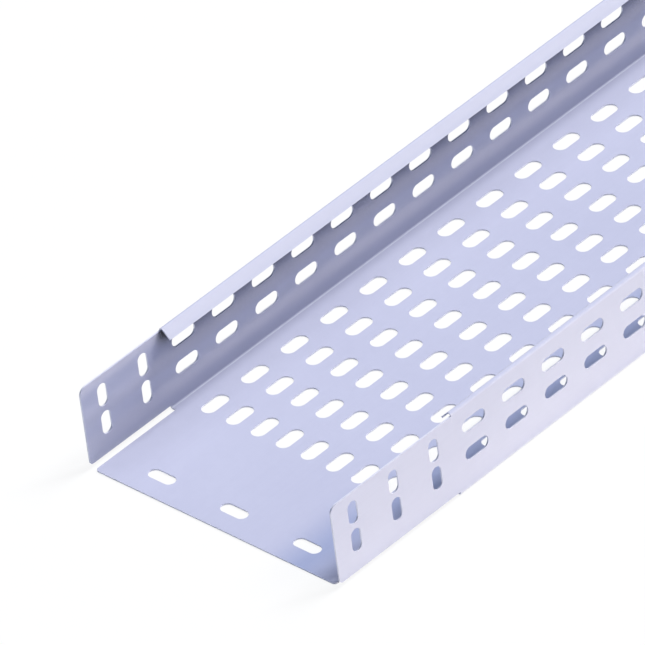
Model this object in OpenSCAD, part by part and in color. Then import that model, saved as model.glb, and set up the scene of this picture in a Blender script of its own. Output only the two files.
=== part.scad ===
// Perforated cable tray with a slotted coupling end, folded from one steel sheet.
// X runs along the tray from its coupling end, Y across it, Z up from its underside.

/* [Tray] */
// Length over both ends
tray_l = 2000; // [600:5:3000]
// Width over the side walls
tray_w = 200; // [120:1:600]
// Height from the underside to the crown of the lips
tray_h = 60; // [56:0.5:110]
// Thickness of the sheet
sheet_t = 1; // [0.6:0.1:2]
// Inner radius of the bends
bend_r = 0.8; // [0.4:0.1:3]

/* [Return lips] */
// Flat stretch of a lip past its bend
lip_flat = 7.5; // [2:0.5:20]
// Fall of a lip below level, towards the inside of the tray
lip_fall = 45; // [0:1:70]

/* [Slot stations] */
// Spacing of the slot stations along the tray
pitch = 35; // [25:0.5:60]
// Distance from each end to the nearest station
end_margin = 17.5; // [14:0.5:40]

/* [Floor slots] */
// Length of a floor slot, which runs along the tray
floor_slot_l = 20; // [12:0.5:24]
// Width of a floor slot
floor_slot_w = 10; // [4:0.5:12]
// Spacing of the slot columns across the floor
column_gap = 20; // [14:0.5:50]
// Least distance from the outside of a wall to the nearest column
edge_margin = 20; // [12:0.5:40]
// Stations left without floor slots at the coupling end
plain_cells = 2; // [1:1:6]

/* [Wall slots] */
// Length of a wall slot, which runs along the tray
wall_slot_l = 20; // [12:0.5:24]
// Width of a wall slot
wall_slot_w = 9; // [4:0.5:11]
// Height of the lower row above the underside
lower_row = 24; // [14:0.5:28]
// Depth of the upper row below the crown of the lips
upper_row = 16; // [14:0.5:24]

/* [Coupling end] */
// Stations on the left coupling tab, the wall on the +Y side
left_cells = 2; // [1:1:6]
// Stations on the right coupling tab, the wall on the -Y side
right_cells = 3; // [1:1:6]
// Length of an upright slot in a coupling tab
tab_slot_l = 16; // [9:0.5:18]
// Width of an upright slot in a coupling tab
tab_slot_w = 8; // [4:0.5:9]
// Spacing of the two rows of upright slots, of which the lower is level with the lower wall row
tab_row_gap = 20; // [19:0.5:24]
// Drop of a tab's top edge below the crown of the lips
tab_drop = 2; // [1.8:0.1:4]
// Width of the slit beside a tab, taken from the floor
slit_floor = 4.3; // [3:0.1:8]
// Width of the slit beside a tab, taken from the wall
slit_wall = 2.7; // [2:0.1:6]
// Radius of a tab's top corner
tab_top_r = 5; // [1:0.5:10]
// Radius of a tab's lower corner and of the floor's corners
foot_r = 2.5; // [0.5:0.5:5]

/* [Cross slots] */
// Number of cross slots in the floor at the first station
cross_count = 3; // [1:1:9]
// Spacing of the cross slots
cross_gap = 58; // [30:1:100]
// Length of a cross slot
cross_slot_l = 20; // [12:0.5:26]
// Width of a cross slot
cross_slot_w = 8.5; // [4:0.5:12]

/* [Hidden] */
$fn = 32;
sheet_colour = [0.80, 0.80, 0.88];
// Overshoot of a cutter past the sheet
over = 1;
// Lap of pieces of one section over each other
lap = 1;
// Guard against a rounded-down count
tiny = 0.0001;

x_near = -tray_l / 2;
half_w = tray_w / 2;
bend_out = bend_r + sheet_t;
upper_z = tray_h - upper_row;
tab_top = tray_h - tab_drop;
station_count = floor((tray_l - 2 * end_margin) / pitch + tiny) + 1;
column_count = floor((tray_w - 2 * edge_margin) / column_gap + tiny) + 1;

function tab_l(cells) = cells * pitch;
function station(k) = x_near + end_margin + k * pitch;
function centred(k, count, gap) = (k - (count - 1) / 2) * gap;

// Flat slot outline with round ends, its length along X
module slot_outline(slot_l, slot_w) {
    straight = slot_l - slot_w;
    square([straight, slot_w], center = true);
    for (end = [-1, 1])
        translate([end * straight / 2, 0])
            circle(d = slot_w);
}

// Cutter for a slot in the floor, turned about Z
module floor_cut(slot_l, slot_w, turn = 0) {
    rotate([0, 0, turn])
        translate([0, 0, -over])
            linear_extrude(sheet_t + 2 * over)
                slot_outline(slot_l, slot_w);
}

// Cutter for a slot in the +Y wall, turned about Y
module wall_cut(slot_l, slot_w, turn = 0) {
    translate([0, half_w + over, 0])
        rotate([90, 0, 0])
            linear_extrude(sheet_t + 2 * over)
                rotate(turn)
                    slot_outline(slot_l, slot_w);
}

// Cutter that rounds a corner at the origin, leaving material on the +X +Y side
module corner_cut(r, depth) {
    linear_extrude(depth)
        difference() {
            translate([-over, -over])
                square(r + over);
            translate([r, r])
                circle(r);
        }
}

// Section of one fold about the centre of its bend: the wall comes up from below on the +X side,
// and a flat leaves towards -X, falling from level
module fold_section(flat, fall) {
    difference() {
        union() {
            circle(bend_out);
            rotate(fall)
                translate([-flat, 0])
                    square([flat, bend_out]);
        }
        circle(bend_r);
        rotate(fall)
            translate([-flat - bend_out, -bend_out])
                square([flat + bend_out, bend_out + bend_r]);
        translate([0, -bend_out])
            square([bend_r, bend_out]);
    }
}

// Section of the +Y side at its coupling tab: floor and wall, parted by the slit
module parted_section() {
    translate([-lap, 0])
        square([half_w - slit_floor + lap, sheet_t]);
    translate([half_w - sheet_t, slit_wall])
        square([sheet_t, tab_top - slit_wall]);
}

// Section of the +Y side past its tab: floor, lower fold, wall, upper fold and lip
module folded_section() {
    bend_y = half_w - bend_out;
    translate([-lap, 0])
        square([bend_y + lap, sheet_t]);
    translate([half_w - sheet_t, bend_out])
        square([sheet_t, tray_h - 2 * bend_out]);
    translate([bend_y, bend_out])
        mirror([0, 1])
            fold_section(lap, 0);
    translate([bend_y, tray_h - bend_out])
        fold_section(lip_flat, lip_fall);
}

// Half of the tray on the +Y side, which laps over the other half at the middle
module folded_side(tab_cells) {
    rotate([90, 0, 90]) {
        translate([0, 0, x_near])
            linear_extrude(tray_l)
                parted_section();
        translate([0, 0, x_near + tab_l(tab_cells)])
            linear_extrude(tray_l - tab_l(tab_cells))
                folded_section();
    }
}

// Slots and rounded corners of the +Y side
module side_cuts(tab_cells) {
    for (k = [0 : tab_cells - 1], z = [lower_row, lower_row + tab_row_gap])
        translate([station(k), 0, z])
            wall_cut(tab_slot_l, tab_slot_w, 90);
    for (k = [tab_cells : station_count - 1], z = [lower_row, upper_z])
        translate([station(k), 0, z])
            wall_cut(wall_slot_l, wall_slot_w);
    translate([x_near, half_w + over, slit_wall])
        rotate([90, 0, 0])
            corner_cut(foot_r, sheet_t + 2 * over);
    translate([x_near, half_w - sheet_t - over, tab_top])
        rotate([-90, 0, 0])
            corner_cut(tab_top_r, sheet_t + 2 * over);
    translate([x_near, half_w - slit_floor, sheet_t + over])
        rotate([180, 0, 0])
            corner_cut(foot_r, sheet_t + 2 * over);
}

// Slots of the floor: columns of long slots, and one row of cross slots at the coupling end
module floor_cuts() {
    for (k = [plain_cells : station_count - 1], j = [0 : column_count - 1])
        translate([station(k), centred(j, column_count, column_gap), 0])
            floor_cut(floor_slot_l, floor_slot_w);
    for (j = [0 : cross_count - 1])
        translate([station(0), centred(j, cross_count, cross_gap), 0])
            floor_cut(cross_slot_l, cross_slot_w, 90);
}

module tray() {
    color(sheet_colour)
        difference() {
            union() {
                folded_side(left_cells);
                mirror([0, 1, 0])
                    folded_side(right_cells);
            }
            floor_cuts();
            side_cuts(left_cells);
            mirror([0, 1, 0])
                side_cuts(right_cells);
        }
}

tray();
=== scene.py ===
# %% [markdown]
# A perforated cable tray: one long strip of zinc-coated steel, punched with slots, slit at its coupling end and
# folded into a channel with two return lips. It could be modelled again here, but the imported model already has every
# bend, slot and cut as solid shape. So the lesson keeps that mesh as it is and makes the finish, the light and the
# camera.

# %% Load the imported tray
import math

import bpy
from mathutils import Matrix, Vector

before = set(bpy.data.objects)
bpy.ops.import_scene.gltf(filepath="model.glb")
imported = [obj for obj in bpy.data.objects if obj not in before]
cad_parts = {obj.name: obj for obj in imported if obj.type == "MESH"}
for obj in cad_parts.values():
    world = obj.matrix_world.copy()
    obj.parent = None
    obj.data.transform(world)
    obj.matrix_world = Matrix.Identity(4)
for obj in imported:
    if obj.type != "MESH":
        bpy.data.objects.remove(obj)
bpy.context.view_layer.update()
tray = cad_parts["tray"]
MM = 0.001

# %% [markdown]
# Colours are written as the hex values that a paint program shows. Shaders count light, so each value goes through
# the sRGB curve once. Nodes could be added line by line, but one small function that adds a node, sets it and wires
# it keeps each material short enough to read as a list of layers.

# %% Two helpers for the materials
def linear(hex_colour):
    """Linear RGBA of an sRGB hex colour."""
    steps = [int(hex_colour[i:i + 2], 16) / 255 for i in (1, 3, 5)]
    return [c / 12.92 if c <= 0.04045 else ((c + 0.055) / 1.055) ** 2.4 for c in steps] + [1.0]


def add_node(tree, kind, settings=None, inputs=None):
    """Adds a node with its settings, and fills its inputs with values or with other nodes' outputs."""
    made = tree.nodes.new(kind)
    for name, value in (settings or {}).items():
        setattr(made, name, value)
    for name, value in (inputs or {}).items():
        if isinstance(value, bpy.types.NodeSocket):
            tree.links.new(value, made.inputs[name])
        else:
            made.inputs[name].default_value = value
    return made


print("mid grey in linear light:", [round(v, 3) for v in linear("#808080")])

# %% [markdown]
# The sheet is continuously galvanised steel, skin-passed between smooth rolls. That gives an even, satin, faintly
# lilac grey: the zinc's crystals are pressed so fine that they show only as a slight unevenness. All patterns read
# the tray's own coordinates, in metres, so they stay on the sheet from every side.

# %% Start the zinc finish
zinc = bpy.data.materials.new("galvanised_steel_skin_passed")
zinc.use_nodes = True
zinc_tree = zinc.node_tree
zinc_tree.nodes.clear()
place = add_node(zinc_tree, "ShaderNodeTexCoord").outputs["Object"]
axes = add_node(zinc_tree, "ShaderNodeSeparateXYZ", inputs={0: place}).outputs
along = add_node(zinc_tree, "ShaderNodeMath", {"operation": "ABSOLUTE"}, {0: axes["X"]}).outputs[0]
across = add_node(zinc_tree, "ShaderNodeMath", {"operation": "ABSOLUTE"}, {0: axes["Y"]}).outputs[0]
height = axes["Z"]
print("zinc finish reads", place.name, "coordinates")

# %% [markdown]
# Three patterns make the sheet uneven. Coating thickness drifts over a hand's width, so a soft cloud changes the
# tone. The rolls leave fine lines along the strip: real ones are a tenth of a millimetre apart, too fine to show, so
# they are drawn over a millimetre apart. The pressed crystals are cells of a few millimetres.

# %% Cloud, roll lines and crystals
CLOUD_MM = 120.0
LINE_LENGTH_MM = 260.0
LINE_GAP_MM = 1.3
CRYSTAL_MM = 5.0
cloud = add_node(
    zinc_tree, "ShaderNodeTexNoise", inputs={"Vector": place, "Scale": 1 / (CLOUD_MM * MM), "Detail": 1.0}
).outputs[0]
stretched = add_node(
    zinc_tree,
    "ShaderNodeMapping",
    inputs={"Vector": place, "Scale": [1 / (size * MM) for size in (LINE_LENGTH_MM, LINE_GAP_MM, LINE_GAP_MM)]},
).outputs[0]
roll_lines = add_node(
    zinc_tree, "ShaderNodeTexNoise", inputs={"Vector": stretched, "Scale": 1.0, "Detail": 1.0}
).outputs[0]
cells = add_node(
    zinc_tree, "ShaderNodeTexVoronoi", inputs={"Vector": place, "Scale": 1 / (CRYSTAL_MM * MM)}
).outputs["Color"]
crystals = add_node(zinc_tree, "ShaderNodeSeparateColor", inputs={0: cells}).outputs[0]
print("cloud", CLOUD_MM, "mm, roll lines", LINE_GAP_MM, "mm apart, crystals", CRYSTAL_MM, "mm")

# %% [markdown]
# The three are added up into one tone from 0 to 1, which picks a colour between a shaded and a bright zinc. Each could
# have a colour of its own, but one tone keeps the hue the same all over. The two hex values are close together, because
# the real sheet looks nearly even.

# %% Tone of the sheet
LINE_SHARE = 0.35
CRYSTAL_SHARE = 0.15
TONE_LOW, TONE_HIGH = 0.45, 1.05
SHADED_ZINC = "#C9CADF"
BRIGHT_ZINC = "#CFD0E4"
tone = add_node(
    zinc_tree, "ShaderNodeMath", {"operation": "MULTIPLY_ADD"}, {0: roll_lines, 1: LINE_SHARE, 2: cloud}
).outputs[0]
tone = add_node(
    zinc_tree, "ShaderNodeMath", {"operation": "MULTIPLY_ADD"}, {0: crystals, 1: CRYSTAL_SHARE, 2: tone}
).outputs[0]
tone = add_node(
    zinc_tree, "ShaderNodeMapRange", inputs={"Value": tone, "From Min": TONE_LOW, "From Max": TONE_HIGH}
).outputs[0]
zinc_colour = add_node(
    zinc_tree, "ShaderNodeMix", {"data_type": "RGBA"}, {0: tone, 6: linear(SHADED_ZINC), 7: linear(BRIGHT_ZINC)}
).outputs[2]
print("zinc tones from", SHADED_ZINC, "to", BRIGHT_ZINC)

# %% [markdown]
# The press shears the coated sheet, so the faces of its thickness are bare steel: slot walls, ends, and the
# edges of tabs and lips. Their colour is set lighter than the zinc, so it is partly bare steel and partly a painted
# highlight along every cut edge. On this tray a place tells a cut face from a rolled one: only cut faces lie inside the
# thickness of the floor or of a wall. That is simpler than painting each edge, and it follows the shape exactly.

# %% Bare sheared edges of floor and walls, with a painted highlight
SHEET_MM = 1.0
HALF_WIDTH_MM = 100.0
BEND_START_MM = 98.2
WALL_MIDDLE_MM = 30.0
WALL_FLAT_MM = 56.2
SKIN_MM = 0.05
inside = SHEET_MM / 2 - SKIN_MM
in_floor = add_node(
    zinc_tree,
    "ShaderNodeMath",
    {"operation": "COMPARE"},
    {0: height, 1: SHEET_MM / 2 * MM, 2: inside * MM},
).outputs[0]
off_bend = add_node(
    zinc_tree, "ShaderNodeMath", {"operation": "LESS_THAN"}, {0: across, 1: BEND_START_MM * MM}
).outputs[0]
floor_cuts = add_node(zinc_tree, "ShaderNodeMath", {"operation": "MULTIPLY"}, {0: in_floor, 1: off_bend}).outputs[0]
in_wall = add_node(
    zinc_tree,
    "ShaderNodeMath",
    {"operation": "COMPARE"},
    {0: across, 1: (HALF_WIDTH_MM - SHEET_MM / 2) * MM, 2: inside * MM},
).outputs[0]
flat_wall = add_node(
    zinc_tree,
    "ShaderNodeMath",
    {"operation": "COMPARE"},
    {0: height, 1: WALL_MIDDLE_MM * MM, 2: WALL_FLAT_MM / 2 * MM},
).outputs[0]
wall_cuts = add_node(zinc_tree, "ShaderNodeMath", {"operation": "MULTIPLY"}, {0: in_wall, 1: flat_wall}).outputs[0]
print("cut faces lie", SKIN_MM, "mm or more inside the", SHEET_MM, "mm sheet")

# %% [markdown]
# The two ends of the tray and the cut ends of the lips are bare as well. The left lip starts earlier and the right one
# later than the mean of the two, by the same step. Each could have a test of its own, but adding that step by side
# brings both starts to one place, and one test does.

# %% Bare ends
HALF_LENGTH_MM = 1000.0
LIP_LOWEST_MM = 53.2
LIP_START_MM = -912.5
LIP_STAGGER_MM = 17.5
# Like the cut faces, these ends take the light colour that is partly bare steel and partly a painted highlight.
end_cuts = add_node(
    zinc_tree, "ShaderNodeMath", {"operation": "GREATER_THAN"}, {0: along, 1: (HALF_LENGTH_MM - SKIN_MM) * MM}
).outputs[0]
on_lip = add_node(
    zinc_tree, "ShaderNodeMath", {"operation": "GREATER_THAN"}, {0: height, 1: LIP_LOWEST_MM * MM}
).outputs[0]
side = add_node(zinc_tree, "ShaderNodeMath", {"operation": "SIGN"}, {0: axes["Y"]}).outputs[0]
levelled = add_node(
    zinc_tree, "ShaderNodeMath", {"operation": "MULTIPLY_ADD"}, {0: side, 1: LIP_STAGGER_MM * MM, 2: axes["X"]}
).outputs[0]
at_start = add_node(
    zinc_tree, "ShaderNodeMath", {"operation": "COMPARE"}, {0: levelled, 1: LIP_START_MM * MM, 2: SKIN_MM * MM}
).outputs[0]
lip_ends = add_node(zinc_tree, "ShaderNodeMath", {"operation": "MULTIPLY"}, {0: at_start, 1: on_lip}).outputs[0]
print("lips start at", LIP_START_MM - LIP_STAGGER_MM, "and", LIP_START_MM + LIP_STAGGER_MM, "mm")

# %% [markdown]
# A thin bright line along the inside of each lower fold is a painted highlight, where the bend would catch the light.
# A second material on those faces would need the mesh to be changed, so the fold too is found by its place.

# %% Painted highlight along the folds
FOLD_TOP_MM = 2.0
FOLD_PAINTED_HIGHLIGHT = 0.6
on_bend = add_node(
    zinc_tree, "ShaderNodeMath", {"operation": "GREATER_THAN"}, {0: across, 1: BEND_START_MM * MM}
).outputs[0]
low_down = add_node(
    zinc_tree, "ShaderNodeMath", {"operation": "LESS_THAN"}, {0: height, 1: FOLD_TOP_MM * MM}
).outputs[0]
folds = add_node(zinc_tree, "ShaderNodeMath", {"operation": "MULTIPLY"}, {0: on_bend, 1: low_down}).outputs[0]
folds = add_node(zinc_tree, "ShaderNodeMath", {"operation": "MULTIPLY"}, {0: folds, 1: FOLD_PAINTED_HIGHLIGHT}).outputs[0]
# The bright line along the folds is a painted highlight.
print("folds burnished up to", FOLD_TOP_MM, "mm")

# %% [markdown]
# The top of each lip is painted lighter, as painted light, and its free edge gets a brighter painted highlight. A lip
# falls at 45 degrees, so a point's height less its distance from the middle tells the lip's top from its underside,
# and their sum tells how near the edge it is. The brightest of all these layers wins at each point.

# %% Painted light on the lips
LIP_TOP_PAINTED_LIGHT = 0.38
LIP_EDGE_PAINTED_HIGHLIGHT = 0.5
CROWN_RISE_MM = -38.2
LIP_EDGE_SUM_MM = 145.8
EDGE_HIGHLIGHT_MM = 0.8
reach = add_node(zinc_tree, "ShaderNodeMath", {"operation": "ADD"}, {0: across, 1: height}).outputs[0]
near_edge = add_node(
    zinc_tree,
    "ShaderNodeMath",
    {"operation": "LESS_THAN"},
    {0: reach, 1: (LIP_EDGE_SUM_MM + EDGE_HIGHLIGHT_MM * math.sqrt(2)) * MM},
).outputs[0]
lip_edge_highlight = add_node(zinc_tree, "ShaderNodeMath", {"operation": "MULTIPLY"}, {0: near_edge, 1: on_lip}).outputs[0]
lip_edge_highlight = add_node(
    zinc_tree, "ShaderNodeMath", {"operation": "MULTIPLY"}, {0: lip_edge_highlight, 1: LIP_EDGE_PAINTED_HIGHLIGHT}
).outputs[0]
rise = add_node(zinc_tree, "ShaderNodeMath", {"operation": "SUBTRACT"}, {0: height, 1: across}).outputs[0]
topside = add_node(
    zinc_tree, "ShaderNodeMath", {"operation": "GREATER_THAN"}, {0: rise, 1: CROWN_RISE_MM * MM}
).outputs[0]
lip_top_painted_light = add_node(zinc_tree, "ShaderNodeMath", {"operation": "MULTIPLY"}, {0: topside, 1: on_lip}).outputs[0]
lip_top_painted_light = add_node(zinc_tree, "ShaderNodeMath", {"operation": "MULTIPLY"}, {0: lip_top_painted_light, 1: LIP_TOP_PAINTED_LIGHT}).outputs[0]
bright = lip_edge_highlight
for patch in (lip_top_painted_light, folds, floor_cuts, wall_cuts, end_cuts, lip_ends):
    bright = add_node(zinc_tree, "ShaderNodeMath", {"operation": "MAXIMUM"}, {0: bright, 1: patch}).outputs[0]
# The lip tops carry painted light and their free edges a painted highlight.
print("lip tops rubbed by", LIP_TOP_PAINTED_LIGHT, "and their last", EDGE_HIGHLIGHT_MM, "mm by", LIP_EDGE_PAINTED_HIGHLIGHT)

# %% [markdown]
# This is painted shade: the colour darkens where the sheet is closed in, strongly in the hollow under each lip and
# faintly along the lower folds. It could be painted by place, but the Ambient Occlusion node finds a hollow by
# itself, also where the lip is cut back.

# %% Painted shade in the hollows
HOLLOW_MM = 40.0
PAINTED_SHADE_FROM_MM = 28.0
PAINTED_SHADE_FULL_MM = 39.0
FOLD_PAINTED_SHADE = 0.15
DENSE_SHADE_OPENNESS = 0.73
openness = add_node(
    zinc_tree, "ShaderNodeAmbientOcclusion", {"samples": 8, "only_local": True}, {"Distance": HOLLOW_MM * MM}
).outputs["AO"]
closed_in = add_node(
    zinc_tree,
    "ShaderNodeMapRange",
    inputs={"Value": openness, "From Min": DENSE_SHADE_OPENNESS, "From Max": 1.0, "To Min": 1.0, "To Max": 0.0},
).outputs[0]
painted_shade_by_height = add_node(
    zinc_tree,
    "ShaderNodeMapRange",
    inputs={"Value": height, "From Min": PAINTED_SHADE_FROM_MM * MM, "From Max": PAINTED_SHADE_FULL_MM * MM, "To Min": FOLD_PAINTED_SHADE},
).outputs[0]
painted_shade = add_node(zinc_tree, "ShaderNodeMath", {"operation": "MULTIPLY"}, {0: closed_in, 1: painted_shade_by_height}).outputs[0]
print("film in hollows narrower than", HOLLOW_MM, "mm")

# %% [markdown]
# Now the layers meet in one shader. Bare zinc is a full metal, but its matt oxide film scatters light like a pale
# paint, so the metallic value was matched at only a tenth, and the roughness near 0.45. The roll lines and crystals
# also change the roughness, and the lines give a very shallow bump, which breaks up the reflections.

# %% Zinc shader on the tray
METALLIC = 0.1
LEAST_ROUGHNESS = 0.37
LINE_ROUGHNESS = 0.10
CRYSTAL_ROUGHNESS = 0.06
GRAIN_STRENGTH = 0.12
GRAIN_DEPTH_MM = 0.05
PAINTED_SHADE_COLOUR = "#1A1A22"
BARE_STEEL_AND_PAINTED_HIGHLIGHT = "#E6E6F2"
# The dark colour mixed in first is painted shade in the hollows.
sheet_colour = add_node(
    zinc_tree, "ShaderNodeMix", {"data_type": "RGBA"}, {0: painted_shade, 6: zinc_colour, 7: linear(PAINTED_SHADE_COLOUR)}
).outputs[2]
# The light colour mixed in next is partly bare steel on the cut faces and partly painted highlight on cuts, folds and
# lip tops.
sheet_colour = add_node(
    zinc_tree, "ShaderNodeMix", {"data_type": "RGBA"}, {0: bright, 6: sheet_colour, 7: linear(BARE_STEEL_AND_PAINTED_HIGHLIGHT)}
).outputs[2]
roughness = add_node(
    zinc_tree,
    "ShaderNodeMath",
    {"operation": "MULTIPLY_ADD"},
    {0: roll_lines, 1: LINE_ROUGHNESS, 2: LEAST_ROUGHNESS},
).outputs[0]
roughness = add_node(
    zinc_tree, "ShaderNodeMath", {"operation": "MULTIPLY_ADD"}, {0: crystals, 1: CRYSTAL_ROUGHNESS, 2: roughness}
).outputs[0]
grain = add_node(
    zinc_tree,
    "ShaderNodeBump",
    inputs={"Strength": GRAIN_STRENGTH, "Distance": GRAIN_DEPTH_MM * MM, "Height": roll_lines},
).outputs[0]
zinc_shader = add_node(
    zinc_tree,
    "ShaderNodeBsdfPrincipled",
    inputs={"Base Color": sheet_colour, "Metallic": METALLIC, "Roughness": roughness, "Normal": grain},
).outputs[0]
add_node(zinc_tree, "ShaderNodeOutputMaterial", inputs={"Surface": zinc_shader})
for slot in tray.material_slots:
    slot.material = zinc
print("finish on the tray:", [slot.material.name for slot in tray.material_slots])

# %% [markdown]
# The tray lies on a wide white studio floor. A floor that is white by its lamps alone would need so much light that
# the zinc burns out. So rays from the camera, from metal or through glass see it mostly as plain white, and a small
# share stays an ordinary white surface, which keeps the shadow under the tray.

# %% White studio floor
FLOOR_SIZE = 60.0
FLOOR_DROP_MM = 0.2
WHITE_SHARE = 0.9
bpy.ops.mesh.primitive_plane_add(size=FLOOR_SIZE, location=(0, 0, -FLOOR_DROP_MM * MM))
studio_floor = bpy.context.object
studio_floor.name = "studio_floor"
paint = bpy.data.materials.new("white_studio_paint")
paint.use_nodes = True
paint_tree = paint.node_tree
paint_tree.nodes.clear()
ray = add_node(paint_tree, "ShaderNodeLightPath").outputs
seen = ray["Is Camera Ray"]
for kind in ("Is Glossy Ray", "Is Transmission Ray"):
    seen = add_node(paint_tree, "ShaderNodeMath", {"operation": "MAXIMUM"}, {0: seen, 1: ray[kind]}).outputs[0]
share = add_node(paint_tree, "ShaderNodeMath", {"operation": "MULTIPLY"}, {0: seen, 1: WHITE_SHARE}).outputs[0]
matt_white = add_node(paint_tree, "ShaderNodeBsdfDiffuse", inputs={"Color": linear("#F4F4F4")}).outputs[0]
plain_white = add_node(
    paint_tree, "ShaderNodeEmission", inputs={"Color": linear("#FFFFFF"), "Strength": 1.0}
).outputs[0]
floor_white = add_node(paint_tree, "ShaderNodeMixShader", inputs={0: share, 1: matt_white, 2: plain_white}).outputs[0]
add_node(paint_tree, "ShaderNodeOutputMaterial", inputs={"Surface": floor_white})
studio_floor.data.materials.append(paint)
print("studio floor is", FLOOR_SIZE, "m across")

# %% [markdown]
# Round the table is a dim, slightly cool room. It only fills the shadows, and the camera never sees it, because the
# floor reaches past the edges of the picture.

# %% Dim room
ROOM_FILL = 0.18
room = bpy.data.worlds.new("dim_room")
bpy.context.scene.world = room
room.use_nodes = True
room_tree = room.node_tree
room_tree.nodes.clear()
room_light = add_node(
    room_tree, "ShaderNodeBackground", inputs={"Color": linear("#98BCFF"), "Strength": ROOM_FILL}
).outputs[0]
add_node(room_tree, "ShaderNodeOutputWorld", inputs={"Surface": room_light})
print("room fill", ROOM_FILL)

# %% [markdown]
# A channel shows its shape when its floor and its walls get different light. A large soft box stands high, far off in
# line with the tray and a little towards the camera's side, so the floor is bright, the far wall catches only a
# glancing light, and both stay even along two metres of tray. Long low strips on both sides light the lips and the
# outer walls, and one that lies on the studio floor lifts the near outer wall from below. Only the front strip is
# mirrored in the sheet, because the others would burn the crowns of the lips out to white.

# %% Soft boxes
WARM_WHITE = "#FFF0CC"


def soft_box(name, at, towards, size, radiance, colour="#FFFFFF"):
    """A rectangular lamp, in metres, that looks at a point and is itself out of the camera's sight."""
    lamp = bpy.data.lights.new(name, "AREA")
    lamp.shape = "RECTANGLE"
    lamp.size, lamp.size_y = size
    lamp.energy = radiance * 4 * size[0] * size[1]
    lamp.color = linear(colour)[:3]
    holder = bpy.data.objects.new(name, lamp)
    bpy.context.scene.collection.objects.link(holder)
    holder.location = at
    holder.rotation_mode = "QUATERNION"
    holder.rotation_quaternion = (Vector(towards) - Vector(at)).to_track_quat("-Z", "Y")
    holder.visible_camera = False
    print(name, "at", at, "power", round(lamp.energy), "W")
    return holder


high_box = soft_box("high_box", (23.4, -6.12, 31.4), (-0.6, 0.0, 0.0), (14.0, 14.0), 28.5)
soft_box("front_strip", (2.0, -3.0, 0.15), (2.0, 0.0, 0.15), (6.0, 0.08), 27.0, WARM_WHITE)
back_strip = soft_box("back_strip", (2.0, 3.0, 0.15), (2.0, 0.0, 0.15), (6.0, 0.08), 27.0, WARM_WHITE)
floor_strip = soft_box("floor_strip", (0.3, -0.165, 0.001), (0.3, -0.165, 1.0), (6.0, 0.12), 0.34, WARM_WHITE)
for lamp_holder in (high_box, back_strip, floor_strip):
    lamp_holder.visible_glossy = False

# %% [markdown]
# The tray's floor falls softly into a bluish shade towards the wall nearest the camera. Photographers shade such a
# place with a net on a frame. Here a narrow net of pale blue voile lies just inside that wall's lip: it takes part of
# the light, least of the blue, from the floor beside the wall, and leaves the rest alone. The camera and the
# reflections don't see it.

# %% Shading net
NET_SIZE = (2.02, 0.025)
NET_AT = (0.04, -0.0805, 0.066)
NET_DENSITY = 0.2
bpy.ops.mesh.primitive_plane_add(size=1.0, location=NET_AT)
net = bpy.context.object
net.name = "shading_net"
net.scale = (*NET_SIZE, 1.0)
net.visible_camera = net.visible_glossy = net.visible_diffuse = False
net_cloth = bpy.data.materials.new("pale_blue_scrim_net")
net_cloth.use_nodes = True
net_tree = net_cloth.node_tree
net_tree.nodes.clear()
voile = add_node(net_tree, "ShaderNodeBsdfTransparent", inputs={"Color": linear("#D8E4F8")}).outputs[0]
threads = add_node(net_tree, "ShaderNodeBsdfDiffuse", inputs={"Color": linear("#101010")}).outputs[0]
net_shader = add_node(net_tree, "ShaderNodeMixShader", inputs={0: NET_DENSITY, 1: voile, 2: threads}).outputs[0]
add_node(net_tree, "ShaderNodeOutputMaterial", inputs={"Surface": net_shader})
net.data.materials.append(net_cloth)
print("shading net", NET_SIZE, "m at", NET_AT, "with threads over", NET_DENSITY, "of it")

# %% [markdown]
# The camera stands seven metres off with a very long lens, so the tray's lines stay nearly parallel, and it is
# turned a little in the hand. Place, aim and roll come from a fit to the slots and edges of the tray.

# %% Camera
SENSOR_MM = 36.0
LENS_MM = 659.459
FAR_CLIP = 200.0
CAMERA_AT = Vector((-4677.57, -4051.97, 4170.37)) * MM
CAMERA_AIM = Vector((-816.23, 81.65, 0.0)) * MM
CAMERA_ROLL = math.radians(-7.7931)
lens = bpy.data.cameras.new("studio_camera")
lens.sensor_width = SENSOR_MM
lens.lens = LENS_MM
lens.clip_end = FAR_CLIP
camera = bpy.data.objects.new("studio_camera", lens)
bpy.context.scene.collection.objects.link(camera)
looking = (CAMERA_AIM - CAMERA_AT).to_track_quat("-Z", "Y").to_matrix().to_4x4()
camera.matrix_world = Matrix.Translation(CAMERA_AT) @ looking @ Matrix.Rotation(CAMERA_ROLL, 4, "Z")
bpy.context.scene.camera = camera
bpy.context.scene.view_settings.view_transform = "Standard"
print("camera is", round((CAMERA_AIM - CAMERA_AT).length, 2), "m from the tray")
